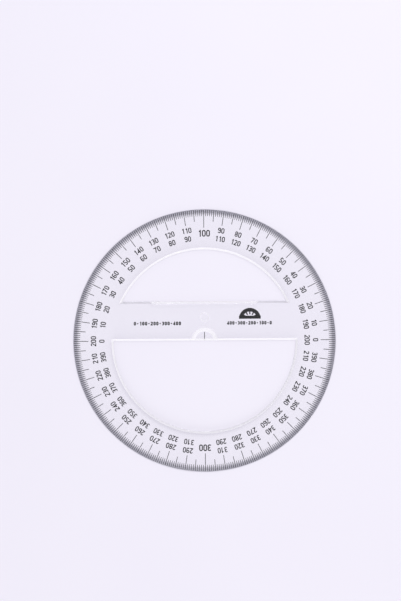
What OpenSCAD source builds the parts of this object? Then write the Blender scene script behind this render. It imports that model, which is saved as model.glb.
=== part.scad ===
// Full-circle protractor divided into 400 grads: one clear plastic moulding with black print
// pressed flush into its underside. The origin is the centre of the graduation, on the underside.
// +X points to 0 of the outer scale, +Y to the 100 that both scales share, +Z up to the reader.

/* [Plate] */
// Outer diameter, which the name of the size refers to
plate_d = 150; // [130:1:200]
// Thickness of the moulding between its flat faces
plate_t = 2; // [1.6:0.1:3]
// Width of the ring, from the rim to the windows
ring_w = 23; // [21:0.2:26]
// Width in plan of the bevel round the rim
bevel_w = 2.5; // [1:0.1:4]
// Height of the upright edge below the rim's bevel
rim_h = 0.6; // [0.3:0.1:1.2]

/* [Windows and bar] */
// Distance from the base line to the far edge of the bar
bar_w = 22.4; // [18:0.2:30]
// Width in plan of the slope round the windows
slope_w = 1.2; // [0.4:0.1:2]
// Height of the upright wall below that slope
wall_h = 0.5; // [0.3:0.1:1.2]

/* [Finger bevel] */
// Length of the finger bevel along the bar's far edge
finger_len = 63; // [30:1:70]
// Width in plan of the finger bevel
finger_w = 2.5; // [1.5:0.1:4]
// Depth of the finger bevel at the bar's edge
finger_depth = 1.1; // [0.4:0.1:1.2]
// How far each end of the finger bevel leans in
finger_lean = 3; // [0:0.5:6]

/* [Centre recess] */
// Radius of the recess at the top face
recess_r = 7.6; // [6:0.1:9]
// Radius of the recess at its floor
recess_floor_r = 5.2; // [4:0.1:5.8]
// Thickness left under the recess
recess_floor_t = 0.8; // [0.5:0.1:1.2]

/* [Gate mark] */
// Distance of the moulded gate mark from the base line
gate_y = 13.4; // [11:0.1:16]
// Radius of the gate mark
gate_r = 2.6; // [1.5:0.1:3]
// Depth of the gate mark
gate_depth = 0.2; // [0.05:0.01:0.3]

/* [Graduation] */
// Depth of the print in the underside
ink_t = 0.04; // [0.02:0.01:0.1]
// Gap between the rim and the outer ends of the ticks
tick_gap = 0.5; // [0.2:0.1:1]
// Length of a 1 grad tick
tick_1_len = 3.4; // [2:0.1:4]
// Length of a 5 grad tick
tick_5_len = 6.3; // [4:0.1:7]
// Length of a 10 grad tick
tick_10_len = 8.1; // [6:0.1:9]
// Length of the ticks at 100 and 300 grads
tick_100_len = 10; // [9:0.1:11]
// Line width of the 1 grad ticks
fine_line = 0.26; // [0.12:0.01:0.35]
// Line width of all longer ticks
bold_line = 0.32; // [0.15:0.01:0.45]

/* [Figures] */
// Height of the figures on both scales
figure_h = 3.1; // [2.4:0.1:3.4]
// Line width of the figures as a part of their height
figure_weight = 0.16; // [0.1:0.005:0.18]
// Distance from the rim to the middle of the outer figures
outer_figure_gap = 11.5; // [11:0.1:12]
// Distance from the rim to the middle of the inner figures
inner_figure_gap = 16.3; // [15.5:0.1:17]
// Height of the large 100 and 300
shared_figure_h = 3.8; // [3:0.1:4.5]
// Distance from the rim to the middle of the large 100 and 300
shared_figure_gap = 13.7; // [13:0.1:15]

/* [Bar print] */
// Length of the line that marks the centre
centre_line_len = 4.9; // [3:0.1:5]
// Line width of the centre line
centre_line_w = 0.36; // [0.15:0.01:0.6]
// Height of the left legend's figures
left_legend_h = 2.1; // [1.6:0.1:2.6]
// Length of the left legend
left_legend_span = 27; // [24:0.5:30]
// Height of the right legend's figures
right_legend_h = 2; // [1.4:0.1:2.2]
// Length of the right legend
right_legend_span = 25.6; // [22:0.2:27]
// Line width of the legends as a part of their height
legend_weight = 0.26; // [0.12:0.01:0.28]
// Width of the emblem over the right legend
emblem_w = 12.4; // [9:0.1:14]

/* [Hidden] */
$fn = 32;
// How far the print's solids reach below the underside: only where they cut the plate
$below = 0;

circle_grads = 400;
grad = 360 / circle_grads;
plate_r = plate_d / 2;
window_r = plate_r - ring_w;
tick_end_r = plate_r - tick_gap;
outer_figure_r = plate_r - outer_figure_gap;
inner_figure_r = plate_r - inner_figure_gap;
shared_figure_r = plate_r - shared_figure_gap;
// How far a cutting shape runs past the face that it opens
past = 1;
// Length of a straight piece of the finger bevel's hollow, as a part of its width
finger_step = 0.125;
// Pitch of the scales' figures as a part of their height
figure_pitch = 0.64;
// How far a figure's lower bowl laps over its upper one, as a part of its height
bowl_lap = 0.02;
// Middles of the legends and of the emblem, from the centre of the graduation
left_legend_at = [-26.9, 9.9];
right_legend_at = [25.7, 9.95];
emblem_at = [26, 12.3];
clear = [0.86, 0.88, 0.94, 0.45];
black = [0.1, 0.1, 0.12];

// ---- The moulding ----

// Disc with a bevelled rim
module disc() {
    rotate_extrude($fn = 180)
        polygon([
            [0, 0], [plate_r, 0], [plate_r, rim_h],
            [plate_r - bevel_w, plate_t], [0, plate_t]
        ]);
}

// Profile of a window's wall: upright, then sloping outwards; x is measured from the window's middle
function wall_profile(reach) =
    let (slope_h = plate_t - wall_h, lean = slope_w * (slope_h + past) / slope_h)
    [
        [0, -past], [reach, -past], [reach, wall_h],
        [reach + lean, plate_t + past], [0, plate_t + past]
    ];

// Round wall that both windows share
module window_round() {
    rotate_extrude($fn = 180) polygon(wall_profile(window_r));
}

// Everything on one side of a straight wall: the wall stands at x = 0 and the window lies at x < 0
module window_straight() {
    translate([-plate_d, plate_d / 2, 0])
        rotate([90, 0, 0])
            linear_extrude(plate_d)
                polygon(wall_profile(plate_d));
}

module lower_window() {
    intersection() {
        window_round();
        rotate([0, 0, 90]) window_straight();
    }
}

module upper_window() {
    intersection() {
        window_round();
        translate([0, bar_w, 0]) rotate([0, 0, -90]) window_straight();
    }
}

// Hollow that thins the bar's far edge so that a fingertip can lift the plate: it falls steeply
// from the crease and is level at the edge
module finger_cut() {
    crease_y = bar_w - finger_w;
    half_len = finger_len / 2;
    half_past = half_len + finger_lean * past / finger_w;
    hollow = [
        for (t = [0:finger_step:1])
            [crease_y + finger_w * t, plate_t - finger_depth * (2 - t) * t]
    ];
    intersection() {
        translate([-finger_len, 0, 0])
            rotate([90, 0, 90])
                linear_extrude(2 * finger_len)
                    polygon(concat(hollow, [
                        [bar_w + past, plate_t - finger_depth],
                        [bar_w + past, plate_t + past], [crease_y, plate_t + past]
                    ]));
        linear_extrude(2 * plate_t)
            polygon([
                [-half_past, bar_w + past], [half_past, bar_w + past],
                [half_len - finger_lean, crease_y], [finger_lean - half_len, crease_y]
            ]);
    }
}

// Dished recess that leaves thin plastic over the centre mark
module centre_cut() {
    depth = plate_t - recess_floor_t;
    flare = (recess_r - recess_floor_r) * (depth + past) / depth;
    translate([0, 0, recess_floor_t])
        cylinder(r1 = recess_floor_r, r2 = recess_floor_r + flare, h = depth + past);
}

module gate_cut() {
    translate([0, gate_y, plate_t - gate_depth])
        cylinder(r = gate_r, h = gate_depth + past);
}

module plate() {
    color(clear)
        difference() {
            disc();
            lower_window();
            upper_window();
            finger_cut();
            centre_cut();
            gate_cut();
            let ($below = past) print_layer();
        }
}

// All of the print, which sits in the plate's underside
module print_layer() {
    one_grad_ticks();
    five_grad_ticks();
    ten_grad_ticks();
    hundred_grad_ticks();
    outer_figures();
    inner_figures();
    shared_figures();
    centre_line();
    left_legend();
    right_legend();
    emblem();
}

// ---- Strokes and figures ----

// Width of a figure: as wide as the two bowls of a 3 allow
function figure_width(h, line) = 0.48 * h + line / 2;

// Straight printed stroke between two points, with square ends
module stroke(from, to, line) {
    run = to - from;
    translate([from.x, from.y, 0])
        rotate([0, 0, atan2(run.y, run.x)])
            translate([0, -line / 2, -$below])
                cube([norm(run), line, ink_t + $below]);
}

// Printed arc stroke about a point
module bow(at, r, start, sweep, line) {
    translate([at.x, at.y, 0])
        rotate_extrude(angle = sweep, start = start)
            translate([r - line / 2, -$below])
                square([line, ink_t + $below]);
}

// One figure or sign of width w, standing on y = 0 and centred on x = 0
module figure(sign, h, w, line) {
    r = (w - line) / 2;
    foot = line / 2;
    head = h - foot;
    low = foot + r;
    high = head - r;
    waist = high - r;
    bowl = waist - bowl_lap * h - r;
    if (sign == "0") {
        bow([0, high], r, 0, 180, line);
        bow([0, low], r, 180, 180, line);
        stroke([-r, low], [-r, high], line);
        stroke([r, low], [r, high], line);
    }
    if (sign == "1") {
        stroke([0.55 * r, 0], [0.55 * r, h], line);
        stroke([-0.5 * r, head - 0.85 * r], [0.55 * r, head - 0.1 * r], line);
    }
    if (sign == "2") {
        // The diagonal runs from the foot's left end to where it touches the upper bow, and a
        // hair further, so that the two strokes join
        lean = atan2(high - foot, r) - atan2(r, high - foot);
        run = (high - foot + line / 8) * [cos(lean), sin(lean)];
        bow([0, high], r, lean - 90, 260 - lean, line);
        stroke([-r, foot], [-r, foot] + run, line);
        stroke([-w / 2, foot], [w / 2, foot], line);
    }
    if (sign == "3") {
        bow([0, high], r, 270, 245, line);
        stroke([-0.5 * r, waist - bowl_lap * h / 2], [0, waist - bowl_lap * h / 2], line);
        lower_bowl(r, low, bowl, 90, line);
    }
    if (sign == "4") {
        stroke([0.6 * r, 0], [0.6 * r, h], line);
        stroke([-w / 2, 0.28 * h], [w / 2, 0.28 * h], line);
        stroke([-r, 0.28 * h], [0.6 * r, head - foot], line);
    }
    if (sign == "5") {
        stroke([-r, head], [r, head], line);
        stroke([-0.9 * r, 0.5 * h], [-0.9 * r, h], line);
        lower_bowl(r, low, bowl, 140, line);
    }
    if (sign == "6") six(r, low, high, bowl, line);
    if (sign == "7") {
        stroke([-w / 2, head], [w / 2, head], line);
        stroke([-0.6 * r, foot / 2], [r - foot / 2, head - foot / 2], line);
    }
    if (sign == "8") {
        bow([0, high], r, 0, 360, line);
        lower_bowl(r, low, bowl, 180, line);
        bow([0, low], r, 180, 30, line);
        stroke([-r, low], [-r, bowl], line);
    }
    if (sign == "9") translate([0, h, 0]) rotate([0, 0, 180]) six(r, low, high, bowl, line);
    if (sign == "-") stroke([-r, h / 2], [r, h / 2], line);
}

// Right side and foot of the bowl in 3, 5 and 8; the upper bow turns through the given angle
module lower_bowl(r, low, bowl, sweep, line) {
    bow([0, bowl], r, 0, sweep, line);
    stroke([r, low], [r, bowl], line);
    bow([0, low], r, 210, 150, line);
}

module six(r, low, high, bowl, line) {
    bow([0, high], r, 25, 155, line);
    stroke([-r, low], [-r, high], line);
    bow([0, bowl], r, 0, 170, line);
    stroke([r, low], [r, bowl], line);
    bow([0, low], r, 180, 180, line);
}

// A row of figures centred on the origin
module figures(label, h, pitch, line) {
    for (i = [0:len(label) - 1])
        translate([(i - (len(label) - 1) / 2) * pitch, -h / 2, 0])
            figure(label[i], h, figure_width(h, line), line);
}

// A number on a scale: its top points away from the centre
module dial_number(value, angle, r, h) {
    rotate([0, 0, angle - 90])
        translate([0, r, 0])
            figures(str(value), h, h * figure_pitch, h * figure_weight);
}

// ---- Graduation ----

// Tick along a radius, ending under the bevel
module tick(count, length, line) {
    rotate([0, 0, count * grad])
        translate([tick_end_r - length, -line / 2, -$below])
            cube([length, line, ink_t + $below]);
}

module one_grad_ticks() {
    color(black)
        for (count = [0:circle_grads - 1])
            if (count % 5 != 0) tick(count, tick_1_len, fine_line);
}

module five_grad_ticks() {
    color(black)
        for (count = [5:10:circle_grads - 5]) tick(count, tick_5_len, bold_line);
}

module ten_grad_ticks() {
    color(black)
        for (count = [0:10:circle_grads - 10])
            if (count % 200 != 100) tick(count, tick_10_len, bold_line);
}

module hundred_grad_ticks() {
    color(black)
        for (count = [100, 300]) tick(count, tick_100_len, bold_line);
}

// Counts anticlockwise from the right
module outer_figures() {
    color(black)
        for (value = [0:10:circle_grads - 10])
            if (value % 200 != 100)
                dial_number(value, value * grad, outer_figure_r, figure_h);
}

// Counts clockwise from the left
module inner_figures() {
    color(black)
        for (value = [0:10:circle_grads - 10])
            if (value % 200 != 100)
                dial_number(value, 180 - value * grad, inner_figure_r, figure_h);
}

// 100 and 300 stand once for both scales
module shared_figures() {
    color(black)
        for (value = [100, 300])
            dial_number(value, value * grad, shared_figure_r, shared_figure_h);
}

// ---- Print on the bar ----

module centre_line() {
    color(black)
        stroke([0, 0], [0, centre_line_len], centre_line_w);
}

// A legend on the bar, of the given length
module legend(label, at, span, h) {
    line = h * legend_weight;
    color(black)
        translate([at.x, at.y, 0])
            figures(label, h, (span - figure_width(h, line)) / (len(label) - 1), line);
}

// Order in which the outer scale counts
module left_legend() {
    legend("0-100-200-300-400", left_legend_at, left_legend_span, left_legend_h);
}

// Order in which the inner scale counts
module right_legend() {
    legend("400-300-200-100-0", right_legend_at, right_legend_span, right_legend_h);
}

// Plain pictogram of a half-round protractor: arch, base and a fan of ticks
module emblem() {
    base = emblem_w * 0.14;
    band = emblem_w * 0.17;
    arch_r = (emblem_w - band) / 2;
    color(black)
        translate([emblem_at.x, emblem_at.y, 0]) {
            bow([0, 0], arch_r, 0, 180, band);
            stroke([-emblem_w / 2, base / 2], [emblem_w / 2, base / 2], base);
            for (angle = [30:30:150])
                rotate([0, 0, angle])
                    stroke([arch_r * 0.5, 0], [arch_r, 0], base * 0.4);
        }
}

plate();
one_grad_ticks();
five_grad_ticks();
ten_grad_ticks();
hundred_grad_ticks();
outer_figures();
inner_figures();
shared_figures();
centre_line();
left_legend();
right_legend();
emblem();
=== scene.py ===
"""Looks of a clear full-circle protractor: a fine mesh of the moulding, its print, a studio."""

import math

import bpy
import numpy as np
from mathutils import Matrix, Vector
from mathutils.geometry import delaunay_2d_cdt


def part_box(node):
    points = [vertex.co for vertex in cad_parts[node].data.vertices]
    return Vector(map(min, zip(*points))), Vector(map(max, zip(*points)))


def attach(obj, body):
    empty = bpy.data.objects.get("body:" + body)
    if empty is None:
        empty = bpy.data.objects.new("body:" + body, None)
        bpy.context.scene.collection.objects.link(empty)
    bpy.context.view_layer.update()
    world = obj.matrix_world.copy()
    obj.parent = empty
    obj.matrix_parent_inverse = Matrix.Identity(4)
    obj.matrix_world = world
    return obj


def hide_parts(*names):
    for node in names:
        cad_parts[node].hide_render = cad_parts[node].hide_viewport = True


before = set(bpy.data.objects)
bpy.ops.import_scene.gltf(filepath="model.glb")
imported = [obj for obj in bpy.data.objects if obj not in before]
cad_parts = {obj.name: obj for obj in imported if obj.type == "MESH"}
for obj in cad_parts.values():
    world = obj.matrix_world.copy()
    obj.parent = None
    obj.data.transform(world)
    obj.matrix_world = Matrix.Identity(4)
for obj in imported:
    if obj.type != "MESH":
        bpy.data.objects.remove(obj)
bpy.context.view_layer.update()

# ---- Sizes of the moulding, in millimetres, in the frame's own axes ----

MM = 0.001
plate_low, plate_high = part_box("plate")
RIM_R = plate_high.x / MM
BOTTOM_Z = plate_low.z / MM
TOP_Z = plate_high.z / MM
BEVEL_W = 2.5
RIM_H = 0.6
WINDOW_R = RIM_R - 23
BAR_W = 22.4
SLOPE_W = 1.2
WALL_H = 0.5
FINGER_LEN = 63
FINGER_W = 2.5
FINGER_DEPTH = 1.1
FINGER_LEAN = 3
FINGER_END_W = 0.3
RECESS_R = 7.6
RECESS_FLOOR_R = 5.2
RECESS_FLOOR_T = 0.8
GATE_Y = 13.4
GATE_R = 2.6
GATE_DEPTH = 0.2
GATE_EDGE_W = 0.25
# How much white scatter, painted light, the other edges get beside the slopes that face -Y
FAR_SLOPE_PAINTED_LIGHT = 0.6
BAR_SLOPE_PAINTED_LIGHT = 0.15
FINGER_PAINTED_LIGHT = 0.7
GATE_PAINTED_LIGHT = 0.5
# Height gained per millimetre of width, on the windows' slopes and in the recess
SLOPE_RISE = (TOP_Z - BOTTOM_Z - WALL_H) / SLOPE_W
RECESS_RISE = (TOP_Z - BOTTOM_Z - RECESS_FLOOR_T) / (RECESS_R - RECESS_FLOOR_R)
# The plastic ends a hair above the print's lower faces, so that no two faces fall together
PRINT_GAP = 0.005

# How much the mould's sharp edges are softened: the height lost on a ridge, and the edge radius
SOFT = 0.1
EDGE_R = 0.09
# Distances from an upright wall at which the mesh has a line of points
EDGE_LINES = (0, 0.02, 0.05, EDGE_R)
SLOPE_LINES = (
    0.3, 0.7,
    SLOPE_W - 0.08, SLOPE_W - 0.04, SLOPE_W, SLOPE_W + 0.04, SLOPE_W + 0.08, 1.6,
)
BEVEL_LINES = (
    0.4, 1.0, 1.4, 1.7, 2.0,
    BEVEL_W - 0.2, BEVEL_W - 0.1, BEVEL_W, BEVEL_W + 0.1, BEVEL_W + 0.2, 3.2,
)
RING_LINES = (7, 11, 15, 19)
BOTTOM_LINES = EDGE_LINES[1:] + (1.0,)
# The same beside the recess's two edges and beyond the finger bevel's crease
RECESS_LINES = (-0.1, -0.05, 0, 0.05, 0.1)
FINGER_LINES = (-0.15, 0, 0.15, 0.4, 0.7, 1.0, 1.3, 1.6, 1.9, 2.2)
# How far the recess's rings stop short of the base line, and other lines run on past a shape
RECESS_STOP = 0.2
FINGER_OVERRUN = 0.3
GATE_OVERRUN = 0.2
# How finely the mesh is divided
STEPS_PER_TURN = 720
LINE_STEP = 1.0
CREASE_POINTS = 12
GATE_RINGS = 9
# Decimals of a millimetre that are kept in the plan, and to find the same spot on another face
PLAN_DECIMALS = 6
SPOT_DECIMALS = 3

# The rim's band of painted shade fades in between these radii, other marks within this width or
# height
RIM_BAND_START = RIM_R - BEVEL_W - 0.8
RIM_BAND_END = RIM_R - BEVEL_W + 0.5
MARK_FADE = 0.1


# ---- Shape of the top and bottom faces as heights over the plan ----

def soft_min(a, b):
    overlap = np.maximum(SOFT - np.abs(a - b), 0) / SOFT
    return np.minimum(a, b) - overlap ** 2 * SOFT / 4


def soft_max(a, b):
    return -soft_min(-a, -b)


def ramp(value, start, end):
    t = np.clip((value - start) / (end - start), 0, 1)
    return t * t * (3 - 2 * t)


def past_lower_wall(x, y):
    return np.maximum(np.hypot(x, y) - WINDOW_R, y)


def past_upper_wall(x, y):
    return np.maximum(np.hypot(x, y) - WINDOW_R, BAR_W - y)


def past_window(x, y):
    return np.minimum(past_lower_wall(x, y), past_upper_wall(x, y))


def past_any_wall(x, y):
    return np.minimum(past_window(x, y), RIM_R - np.hypot(x, y))


def edge_loss(x, y):
    """How far a rounded edge has fallen away at the plan's outline."""
    nearness = np.clip(1 - past_any_wall(x, y) / EDGE_R, 0, 1)
    return EDGE_R * nearness ** 2


def slope_height(x, y):
    """The slope round the windows, carried on above the top face."""
    return BOTTOM_Z + WALL_H + past_window(x, y) * SLOPE_RISE


def finger_height(x, y):
    """The hollow finger bevel inside its leaning outline; well above the top face elsewhere."""
    half_length = FINGER_LEN / 2 - FINGER_LEAN * (BAR_W - y) / FINGER_W
    inside = ramp(half_length - np.abs(x), 0, FINGER_END_W) * (y > 0) * (y < BAR_W + SLOPE_W)
    to_edge = np.clip((BAR_W - y) / FINGER_W, 0, 1)
    fall = FINGER_DEPTH * (1 - to_edge ** 2)
    return TOP_Z + SOFT - (SOFT + fall) * inside


def dish_height(x, y):
    """The centre recess, carried on above the top face."""
    floor = BOTTOM_Z + RECESS_FLOOR_T
    r = np.hypot(x, y)
    return soft_max(floor + 0 * r, floor + (r - RECESS_FLOOR_R) * RECESS_RISE)


def gate_depth(x, y):
    return GATE_DEPTH * ramp(GATE_R - np.hypot(x, y - GATE_Y), 0, GATE_EDGE_W)


def top_height(x, y):
    bevel_fall = (TOP_Z - BOTTOM_Z - RIM_H) / BEVEL_W
    height = soft_min(TOP_Z + 0 * x, TOP_Z - (np.hypot(x, y) - RIM_R + BEVEL_W) * bevel_fall)
    for cut in (slope_height, finger_height, dish_height):
        height = soft_min(height, cut(x, y))
    return height - gate_depth(x, y) - edge_loss(x, y)


def bottom_height(x, y):
    return BOTTOM_Z + PRINT_GAP + edge_loss(x, y)


def slope_normals(height, x, y, up):
    step = 1e-3
    dx = (height(x + step, y) - height(x - step, y)) / (2 * step)
    dy = (height(x, y + step) - height(x, y - step)) / (2 * step)
    normals = np.stack([-dx, -dy, np.ones_like(dx)], 1) * up
    return normals / np.linalg.norm(normals, axis=1)[:, None]


def wall_normals(x, y):
    """Outwards from the plastic on the upright walls: the round ones and the bar's two edges."""
    r = np.hypot(x, y)
    radial = np.stack([x / r, y / r, 0 * r], 1)
    on_rim = np.abs(r - RIM_R) < EDGE_R
    on_round = np.abs(r - WINDOW_R) < EDGE_R
    straight = np.stack([0 * r, np.where(y > BAR_W / 2, 1.0, -1.0), 0 * r], 1)
    return np.where(on_rim[:, None], radial, np.where(on_round[:, None], -radial, straight))


# ---- Lines of points that the mesh follows ----

def arc(radius, start, end, centre_y=0.0):
    steps = max(2, round(abs(end - start) / math.tau * STEPS_PER_TURN))
    angles = np.linspace(start, end, steps + 1)
    return np.stack([radius * np.cos(angles), centre_y + radius * np.sin(angles)], 1)


def line(start, end):
    start, end = np.array(start, float), np.array(end, float)
    steps = max(1, round(np.linalg.norm(end - start) / LINE_STEP))
    return start + (end - start) * np.linspace(0, 1, steps + 1)[:, None]


def window_loop(offset, upper):
    """Outline of a window, grown by the offset, and its two corners."""
    radius = WINDOW_R + offset
    straight_y = BAR_W - offset if upper else offset
    turn = math.asin(straight_y / radius)
    start, end = (turn, math.pi - turn) if upper else (math.pi - turn, math.tau + turn)
    curve = arc(radius, start, end)
    return np.concatenate([curve, line(curve[-1], curve[0])[1:]]), (curve[0], curve[-1])


def window_lines(offsets, upper):
    loops = [window_loop(offset, upper) for offset in offsets]
    lines = [loop for loop, _ in loops]
    for side in (0, 1):
        lines.append(np.array([corners[side] for _, corners in loops]))
    return lines


def recess_lines():
    """Rings of the dished recess, and the crease where it breaks through the bar's slope."""
    lines = [
        arc(edge + offset, RECESS_STOP / edge, math.pi - RECESS_STOP / edge)
        for edge in (RECESS_R, RECESS_FLOOR_R)
        for offset in RECESS_LINES
    ]
    r = np.linspace(RECESS_FLOOR_R, RECESS_R, CREASE_POINTS)
    y = (RECESS_FLOOR_T - WALL_H + (r - RECESS_FLOOR_R) * RECESS_RISE) / SLOPE_RISE
    x = np.sqrt(r ** 2 - y ** 2)
    lines += [np.stack([x, y], 1), np.stack([-x, y], 1), line((-x[0], y[0]), (x[0], y[0]))]
    return lines


def finger_lines():
    crease_y = BAR_W - FINGER_W
    lines = []
    for side in (-1, 1):
        for inset in (0, FINGER_END_W / 2, FINGER_END_W):
            outer = (side * (FINGER_LEN / 2 - inset), BAR_W - EDGE_R)
            inner = (side * (FINGER_LEN / 2 - FINGER_LEAN - inset), crease_y - FINGER_OVERRUN)
            lines.append(line(outer, inner))
    crease_end = FINGER_LEN / 2 - FINGER_LEAN
    for offset in FINGER_LINES:
        lines.append(line((-crease_end, crease_y + offset), (crease_end, crease_y + offset)))
    return lines


def gate_lines():
    insets = np.linspace(-GATE_OVERRUN, GATE_EDGE_W + GATE_OVERRUN, GATE_RINGS)
    return [arc(GATE_R - inset, 0, math.tau, GATE_Y) for inset in insets]


def rim_lines(offsets):
    return [arc(RIM_R - offset, 0, math.tau) for offset in offsets]


def triangulate(lines):
    """Points and triangles of the plate's plan, following the given lines."""
    points, edges = [], []
    for path in lines:
        first = len(points)
        # Rounded, so that the last point of a full circle falls on its first
        points += [Vector(p) for p in np.round(path, PLAN_DECIMALS)]
        edges += [(i, i + 1) for i in range(first, len(points) - 1)]
    found, _, faces, *_ = delaunay_2d_cdt(points, edges, [], 0, 1e-5)
    xy = np.array([tuple(p) for p in found])
    triangles = np.array([f for f in faces if len(f) == 3])
    middle = xy[triangles].mean(1)
    solid = past_any_wall(middle[:, 0], middle[:, 1]) > 0
    triangles = triangles[solid]
    a, b, c = (xy[triangles[:, i]] for i in range(3))
    to_b, to_c = b - a, c - a
    doubled_area = to_b[:, 0] * to_c[:, 1] - to_b[:, 1] * to_c[:, 0]
    triangles[doubled_area < 0] = triangles[doubled_area < 0][:, ::-1]
    return xy, triangles


def outline(triangles):
    """Directed edges that only one triangle has."""
    edges = {(int(t[i]), int(t[(i + 1) % 3])) for t in triangles for i in range(3)}
    return [edge for edge in edges if edge[::-1] not in edges]


def spot(point):
    """A point rounded to a micrometre, to find the same spot on another face."""
    return round(point[0], SPOT_DECIMALS), round(point[1], SPOT_DECIMALS)


def painted_rim_shade(x, y):
    """Share of the painted shade on the underside below the rim's bevel."""
    return ramp(np.hypot(x, y), RIM_BAND_START, RIM_BAND_END)


def slope_share(x, y):
    """1 on the slopes round the windows, 0 elsewhere."""
    return ramp(np.minimum(finger_height(x, y), TOP_Z) - slope_height(x, y), 0, MARK_FADE)


def far_slope(x, y):
    """Share of the slopes that face +Y, which get less of the painted light and pass less light at
    their foot.
    """
    step = 0.01
    turn = (slope_height(x, y - step) - slope_height(x, y + step)) / (2 * step * SLOPE_RISE)
    return slope_share(x, y) * np.clip(turn, 0, 1)


def bar_slope(x, y):
    """Share of the painted shade on the slope along the bar's far edge."""
    return far_slope(x, y) * (y > 0)


def painted_light_edges(x, y):
    """Share of the white scatter that paints light on the edges: full on the slopes that face -Y and
    in the recess.
    """
    slope = slope_share(x, y) - (1 - FAR_SLOPE_PAINTED_LIGHT) * far_slope(x, y)
    slope = slope - (FAR_SLOPE_PAINTED_LIGHT - BAR_SLOPE_PAINTED_LIGHT) * bar_slope(x, y)
    dish = ramp(TOP_Z - dish_height(x, y), 0, MARK_FADE)
    dish = dish * ramp(np.hypot(x, y) - RECESS_FLOOR_R, 0, MARK_FADE)
    finger = ramp(TOP_Z - finger_height(x, y), FINGER_DEPTH / 2, FINGER_DEPTH) * FINGER_PAINTED_LIGHT
    gate = np.abs(GATE_R - GATE_EDGE_W / 2 - np.hypot(x, y - GATE_Y)) < GATE_EDGE_W
    return np.max([slope, dish, finger, gate * GATE_PAINTED_LIGHT], axis=0)


def wall_faces(top_xy, bottom_xy, border):
    """Upright walls from the top face's outline down to the same spots of the bottom face."""
    bottom_at = {spot(p): i + len(top_xy) for i, p in enumerate(bottom_xy)}
    below = [bottom_at.get(spot(p)) for p in top_xy]
    return [(b, a, below[a], below[b]) for a, b in border]


def set_normals(mesh, xy, top_count, flat_count):
    """Exact normals: the top's faces come first, then the bottom's, then the walls."""
    up = slope_normals(top_height, *xy.T, 1)
    down = slope_normals(bottom_height, *xy.T, -1)
    sideways = wall_normals(*xy.T)
    normals = []
    for face in mesh.polygons:
        kind = up if face.index < top_count else down if face.index < flat_count else sideways
        normals += [kind[v] for v in face.vertices]
    mesh.normals_split_custom_set(normals)


def set_marks(mesh, xy, is_top):
    # The rim's painted shade, the edges' painted light, and the bar's far slope with its painted
    # shade
    marks = {
        "painted_rim_shade": painted_rim_shade(*xy.T) * ~is_top,
        "painted_light_edges": painted_light_edges(*xy.T) * is_top,
        "far_slope": far_slope(*xy.T) * is_top,
        "bar_slope": bar_slope(*xy.T) * is_top,
    }
    for name, values in marks.items():
        mark = mesh.attributes.new(name, "FLOAT", "POINT")
        mark.data.foreach_set("value", values.astype(np.float32))


def plate_mesh():
    top_lines = window_lines(EDGE_LINES + SLOPE_LINES, upper=False)
    top_lines += window_lines(EDGE_LINES + SLOPE_LINES, upper=True)
    top_lines += rim_lines(EDGE_LINES + BEVEL_LINES + RING_LINES)
    top_lines += recess_lines() + finger_lines() + gate_lines()
    top_xy, top_faces = triangulate(top_lines)
    border = outline(top_faces)

    bottom_lines = [top_xy[list(edge)] for edge in border]
    bottom_lines += window_lines(BOTTOM_LINES, upper=False)
    bottom_lines += window_lines(BOTTOM_LINES, upper=True)
    bottom_lines += rim_lines(EDGE_LINES[1:] + BEVEL_LINES + RING_LINES)
    bottom_xy, bottom_faces = triangulate(bottom_lines)

    xy = np.concatenate([top_xy, bottom_xy])
    z = np.concatenate([top_height(*top_xy.T), bottom_height(*bottom_xy.T)])
    faces = [tuple(t) for t in top_faces.tolist()]
    faces += [tuple(t[::-1]) for t in (bottom_faces + len(top_xy)).tolist()]
    walls = wall_faces(top_xy, bottom_xy, border)
    mesh = bpy.data.meshes.new("clear_plate")
    mesh.from_pydata(np.column_stack([xy, z]) * MM, [], faces + walls)
    mesh.validate()
    set_normals(mesh, xy, len(top_faces), len(faces))
    set_marks(mesh, xy, np.arange(len(xy)) < len(top_xy))
    return mesh


# ---- Materials ----

# Colours are linear. A pair holds the ends of the range that a noise pattern spans.
PLASTIC = ((0.975, 0.975, 0.985, 1), (0.995, 0.995, 1.0, 1))
# Painted shade in the rim's band
RIM_PAINTED_SHADE = ((0.63, 0.63, 0.66, 1), (0.84, 0.84, 0.88, 1))
# Painted shade on the bar's far slope
BAR_SLOPE_PAINTED_SHADE = (0.58, 0.58, 0.6, 1)
# Painted light: white scatter on the edges
PAINTED_LIGHT_WHITE = (1.0, 1.0, 1.0, 1)
INK = ((0.004, 0.004, 0.005, 1), (0.012, 0.012, 0.014, 1))
FLOOR = ((0.84, 0.82, 0.90, 1), (0.87, 0.85, 0.92, 1))

# How much of the light passes the plate to what lies below it
FLAT_PASSES = (0.99, 0.99, 0.99, 1)
FOOT_PASSES = (0.65, 0.65, 0.67, 1)
FAR_FOOT_PASSES = (0.4, 0.4, 0.42, 1)
CREST_PASSES = (0.9, 0.9, 0.91, 1)
RIM_PASSES = (0.45, 0.45, 0.48, 1)
UPRIGHT_PASSES = (0.8, 0.8, 0.82, 1)

# Shares of white scatter in the edges' painted light and in the rim, and the roughness of a slope
PAINTED_LIGHT_SCATTER = 0.55
RIM_SCATTER = 0.05
SLOPE_ROUGHNESS = 0.3

# How far up a face's normal points: more than this on flats, less on slopes and upright walls
FLAT_UP = 0.95
SLOPE_UP = 0.7
UPRIGHT_UP = 0.2


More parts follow.
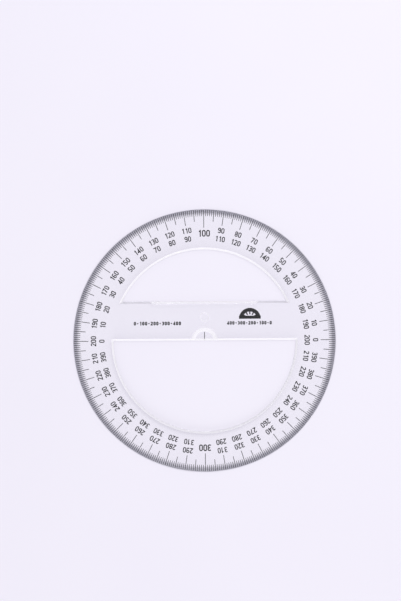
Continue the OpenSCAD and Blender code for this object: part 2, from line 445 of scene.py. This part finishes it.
class Look:
    """A new material and short ways to add nodes to it."""

    def __init__(self, name):
        self.material = bpy.data.materials.new(name)
        self.material.use_nodes = True
        self.nodes = self.material.node_tree.nodes
        self.nodes.clear()
        self.place = self.nodes.new("ShaderNodeTexCoord").outputs["Object"]

    def add(self, kind, **inputs):
        """A node with its inputs set or linked; names use _ for a space."""
        node = self.nodes.new(kind)
        for name, value in inputs.items():
            self.put(value, node.inputs[name.replace("_", " ")])
        return node

    def put(self, value, socket):
        if isinstance(value, bpy.types.NodeSocket):
            self.material.node_tree.links.new(value, socket)
        else:
            socket.default_value = value

    def noise(self, **inputs):
        return self.add("ShaderNodeTexNoise", Vector=self.place, **inputs).outputs["Fac"]

    def mapped(self, value, **limits):
        return self.add("ShaderNodeMapRange", Value=value, **limits).outputs[0]

    def bump(self, height, **inputs):
        return self.add("ShaderNodeBump", Height=height, **inputs).outputs[0]

    def mark(self, name):
        """A value that the mesh carries at its points."""
        node = self.nodes.new("ShaderNodeAttribute")
        node.attribute_name = name
        return node.outputs["Fac"]

    def math(self, operation, *values):
        node = self.nodes.new("ShaderNodeMath")
        node.operation = operation
        for value, socket in zip(values, node.inputs):
            self.put(value, socket)
        return node.outputs[0]

    def mix(self, factor, a, b):
        node = self.nodes.new("ShaderNodeMix")
        node.data_type = "RGBA"
        self.put(factor, node.inputs["Factor"])
        colour_a, colour_b = (socket for socket in node.inputs if socket.type == "RGBA")
        self.put(a, colour_a)
        self.put(b, colour_b)
        return next(socket for socket in node.outputs if socket.type == "RGBA")

    def part(self, vector, axis):
        node = self.nodes.new("ShaderNodeSeparateXYZ")
        self.put(vector, node.inputs[0])
        return node.outputs[axis]

    def finish(self, shader):
        self.add("ShaderNodeOutputMaterial", Surface=shader)
        return self.material


def plastic_colour(look):
    """Nearly clear; painted shade in the rim and along the bar's far slope, white painted light on
    the edges.
    """
    clear = look.mix(look.noise(Scale=35.0, Detail=2.0), *PLASTIC)
    rim = look.mix(look.noise(Scale=120.0, Detail=3.0), *RIM_PAINTED_SHADE)
    colour = look.mix(look.mark("painted_rim_shade"), clear, rim)
    colour = look.mix(look.mark("bar_slope"), colour, BAR_SLOPE_PAINTED_SHADE)
    return look.mix(look.mark("painted_light_edges"), colour, PAINTED_LIGHT_WHITE)


def plastic_roughness(look, sloped):
    """Polished, with a fine haze of scratches, and satin on the slopes."""
    scratches = look.noise(Scale=900.0, Detail=4.0, Distortion=1.5)
    haze = look.mapped(scratches, From_Min=0.55, From_Max=0.8, To_Min=0.0, To_Max=0.03)
    return look.math("ADD", haze, look.math("MULTIPLY", sloped, SLOPE_ROUGHNESS))


def plastic_transmission(look):
    # The edges' white scatter is painted light
    painted_light = look.math("MULTIPLY", look.mark("painted_light_edges"), PAINTED_LIGHT_SCATTER)
    rim = look.math("MULTIPLY", look.mark("painted_rim_shade"), RIM_SCATTER)
    return look.math("SUBTRACT", 1.0, look.math("MAXIMUM", painted_light, rim))


def light_passed(look, flat, sloped):
    """Tint of the light that reaches the floor and the print, in place of light that slopes bend."""
    crest = look.mapped(look.part(look.place, "Z"), From_Min=WALL_H * MM, From_Max=TOP_Z * MM)
    foot_tint = look.mix(look.mark("far_slope"), FOOT_PASSES, FAR_FOOT_PASSES)
    slope_tint = look.mix(crest, foot_tint, CREST_PASSES)
    slope_tint = look.mix(look.mark("bar_slope"), slope_tint, FLAT_PASSES)
    tint = look.mix(sloped, FLAT_PASSES, slope_tint)
    tint = look.mix(look.mark("painted_rim_shade"), tint, RIM_PASSES)
    return look.mix(look.math("LESS_THAN", flat, UPRIGHT_UP), tint, UPRIGHT_PASSES)


def clear_plastic():
    look = Look("clear_plastic")
    normal = look.nodes.new("ShaderNodeNewGeometry").outputs["True Normal"]
    flat = look.math("ABSOLUTE", look.part(normal, "Z"))
    sloped = look.mapped(flat, From_Min=FLAT_UP, From_Max=SLOPE_UP)
    seen = look.add(
        "ShaderNodeBsdfPrincipled", IOR=1.59, Base_Color=plastic_colour(look),
        Roughness=plastic_roughness(look, sloped), Transmission_Weight=plastic_transmission(look),
        Normal=look.bump(look.noise(Scale=45.0, Detail=1.0), Strength=0.25, Distance=0.0001),
    )
    passing = look.add("ShaderNodeBsdfTransparent", Color=light_passed(look, flat, sloped))
    rays = look.nodes.new("ShaderNodeLightPath").outputs
    lighting = look.math("MAXIMUM", rays["Is Shadow Ray"], rays["Is Diffuse Ray"])
    mix = look.nodes.new("ShaderNodeMixShader")
    for value, socket in zip((lighting, seen.outputs[0], passing.outputs[0]), mix.inputs):
        look.put(value, socket)
    return look.finish(mix.outputs[0])


def black_ink():
    look = Look("black_ink")
    grain = look.noise(Scale=2500.0, Detail=3.0)
    shader = look.add(
        "ShaderNodeBsdfPrincipled", IOR=1.5, Specular_IOR_Level=0.1,
        Base_Color=look.mix(grain, *INK),
        Roughness=look.mapped(grain, To_Min=0.42, To_Max=0.68),
        Normal=look.bump(grain, Strength=0.3, Distance=0.00001),
    )
    return look.finish(shader.outputs[0])


def pale_floor():
    look = Look("pale_floor")
    colour = look.mix(look.noise(Scale=8.0, Detail=2.0), *FLOOR)
    shader = look.add("ShaderNodeBsdfPrincipled", Roughness=0.9, Base_Color=colour)
    return look.finish(shader.outputs[0])


# ---- Pieces ----

FLOOR_SIDE = 8.0


def link(obj):
    bpy.context.scene.collection.objects.link(obj)
    return obj


def make_plate():
    mesh = plate_mesh()
    mesh.materials.append(clear_plastic())
    plate = link(bpy.data.objects.new("clear_plate", mesh))
    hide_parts("plate")
    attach(plate, "root")


def finish_print():
    ink = black_ink()
    for name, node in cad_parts.items():
        if name == "plate":
            continue
        for material_slot in node.material_slots:
            material_slot.material = ink


def make_floor():
    mesh = bpy.data.meshes.new("floor")
    half = FLOOR_SIDE / 2
    corners = [(-half, -half, 0), (half, -half, 0), (half, half, 0), (-half, half, 0)]
    mesh.from_pydata(corners, [], [(0, 1, 2, 3)])
    mesh.materials.append(pale_floor())
    link(bpy.data.objects.new("floor", mesh))


# ---- Light and camera, in metres and watts ----

SOFTBOX_COLOUR = (1.0, 0.985, 1.0)
SURROUND_COLOUR = (0.97, 0.96, 1.0, 1)
SURROUND_STRENGTH = 0.65
CAMERA_HEIGHT = 1.2
CAMERA_SPAN = 0.3438
CAMERA_AIM = (-0.00215, 0.0229, 0)
CAMERA_ROLL = math.radians(-0.4)
SENSOR_WIDTH = 36


def softbox(name, place, size, power):
    data = bpy.data.lights.new(name, "AREA")
    data.shape = "SQUARE"
    data.size = size
    data.energy = power
    data.color = SOFTBOX_COLOUR
    lamp = link(bpy.data.objects.new(name, data))
    lamp.location = place
    lamp.rotation_euler = (-Vector(place)).to_track_quat("-Z", "Y").to_euler()
    return lamp


def make_studio():
    world = bpy.data.worlds.new("studio")
    world.use_nodes = True
    background = world.node_tree.nodes["Background"]
    background.inputs["Color"].default_value = SURROUND_COLOUR
    background.inputs["Strength"].default_value = SURROUND_STRENGTH
    bpy.context.scene.world = world
    key = softbox("key_softbox", place=(0.65, 1.05, 1.25), size=0.5, power=14)
    front = softbox("front_softbox", place=(-0.2, -1.6, 0.3), size=0.9, power=18)
    # Their mirror images in the rim and the slopes would sparkle between the ticks
    key.visible_glossy = False
    key.visible_transmission = False
    front.visible_glossy = False
    bpy.context.scene.view_settings.view_transform = "Standard"


def let_light_through():
    """Light is thrown back and forth inside a clear plate more often than usual limits allow."""
    paths = bpy.context.scene.cycles
    paths.max_bounces = 32
    paths.glossy_bounces = 24
    paths.transmission_bounces = 24


def make_camera():
    """Straight above; the picture is as high as the span, with the protractor low in it."""
    data = bpy.data.cameras.new("camera")
    data.sensor_width = SENSOR_WIDTH
    data.lens = SENSOR_WIDTH * CAMERA_HEIGHT / CAMERA_SPAN
    camera = link(bpy.data.objects.new("camera", data))
    camera.location = Vector(CAMERA_AIM) + Vector((0, 0, CAMERA_HEIGHT))
    camera.rotation_euler = (0, 0, CAMERA_ROLL)
    bpy.context.scene.camera = camera


make_camera()
make_studio()
let_light_through()
make_floor()
make_plate()
finish_print()
